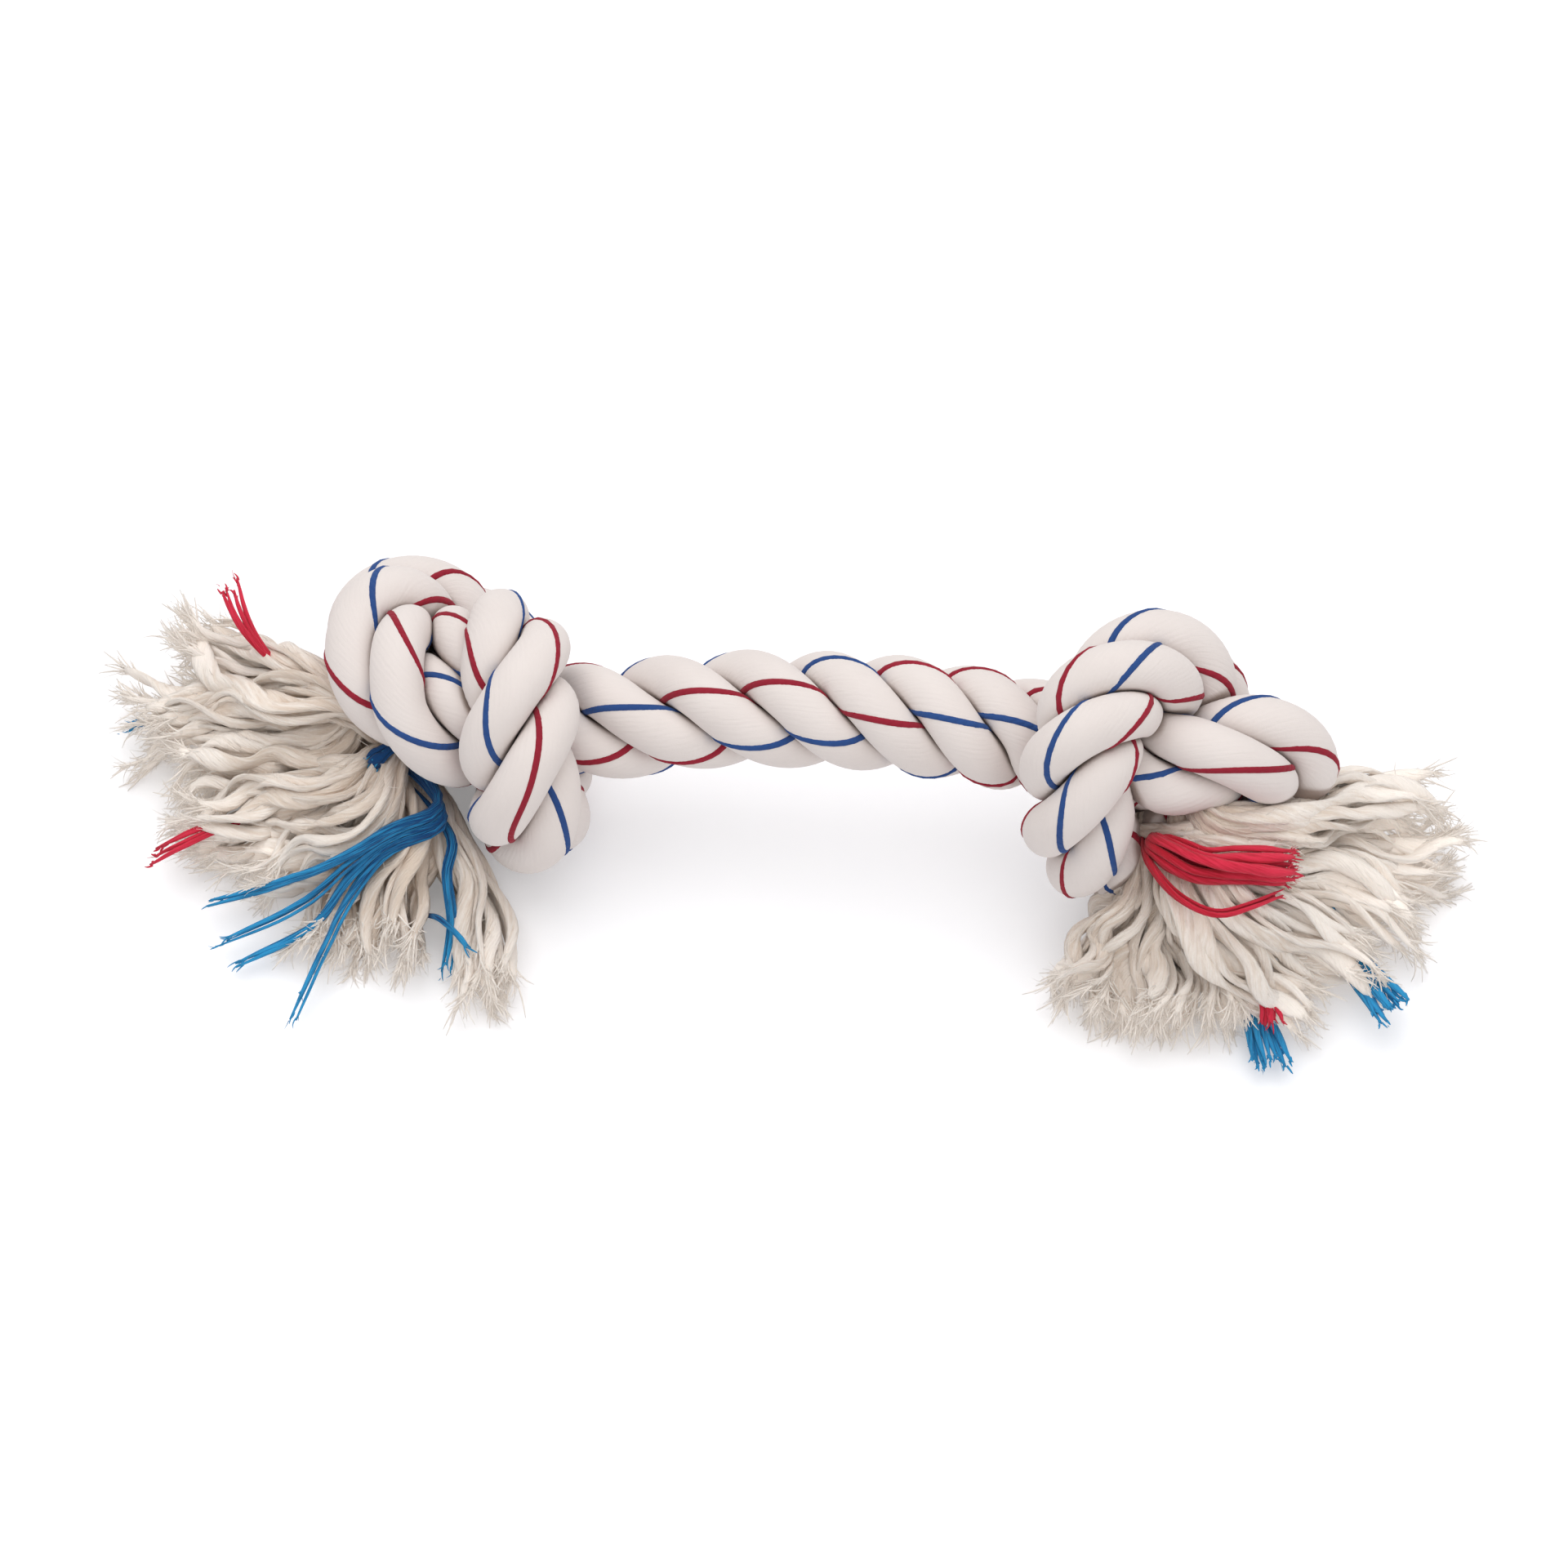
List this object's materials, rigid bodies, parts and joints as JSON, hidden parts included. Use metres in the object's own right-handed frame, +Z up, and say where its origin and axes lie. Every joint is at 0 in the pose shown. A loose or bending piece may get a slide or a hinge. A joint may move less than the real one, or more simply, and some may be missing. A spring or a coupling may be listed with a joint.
{
  "type": "rope dog toy",
  "caption": "Cotton rope tug toy for a dog: thick laid rope, an overhand knot near each end, frayed yarn tassels, red and blue accent yarns.",
  "frame": {"origin": "middle of the bounding box's bottom, on the floor that the toy lies on", "axes": "+X along the rope from the left knot to the right knot, -Y towards the picture's camera, +Z up from the floor"},
  "size_m": [0.2772, 0.1076, 0.0715],
  "materials": {
    "cotton_strand": "matte",
    "cotton_yarn": "matte",
    "red_yarn": "matte",
    "blue_yarn": "matte"
  },
  "bodies": {
    "left_end": {"strand_a_left": "cotton_strand", "strand_b_left": "cotton_strand", "strand_c_left": "cotton_strand", "strand_a_link": "cotton_strand", "strand_b_link": "cotton_strand", "strand_c_link": "cotton_strand", "left_yarn_top": "cotton_yarn", "left_yarn_back": "cotton_yarn", "left_yarn_middle": "cotton_yarn", "left_yarn_upper": "cotton_yarn", "left_yarn_lower": "cotton_yarn", "left_yarn_front": "cotton_yarn", "left_yarn_short": "cotton_yarn", "left_yarn_down": "cotton_yarn", "left_yarn_side": "cotton_yarn", "left_blue_a": "blue_yarn", "left_blue_b": "blue_yarn", "left_blue_c": "blue_yarn", "left_blue_d": "blue_yarn", "left_blue_e": "blue_yarn", "left_red_top": "red_yarn", "left_red_low": "red_yarn"},
    "right_end": {"strand_a_right": "cotton_strand", "strand_b_right": "cotton_strand", "strand_c_right": "cotton_strand", "right_yarn_top": "cotton_yarn", "right_yarn_upper": "cotton_yarn", "right_yarn_middle": "cotton_yarn", "right_yarn_lower": "cotton_yarn", "right_yarn_front": "cotton_yarn", "right_yarn_short": "cotton_yarn", "right_yarn_down": "cotton_yarn", "right_yarn_side": "cotton_yarn", "right_red_bundle": "red_yarn", "right_red_low": "red_yarn", "right_blue_front": "blue_yarn", "right_blue_side": "blue_yarn"}
  },
  "joints": [
    {"name": "rope_bend", "type": "hinge", "parent": "left_end", "child": "right_end", "pos_m": [0.0032, 0.0108, 0.0395], "axis": [0, 0, 1], "range_deg": [-75, 75], "deforming": ["strand_a_link", "strand_b_link", "strand_c_link"]}
  ]
}
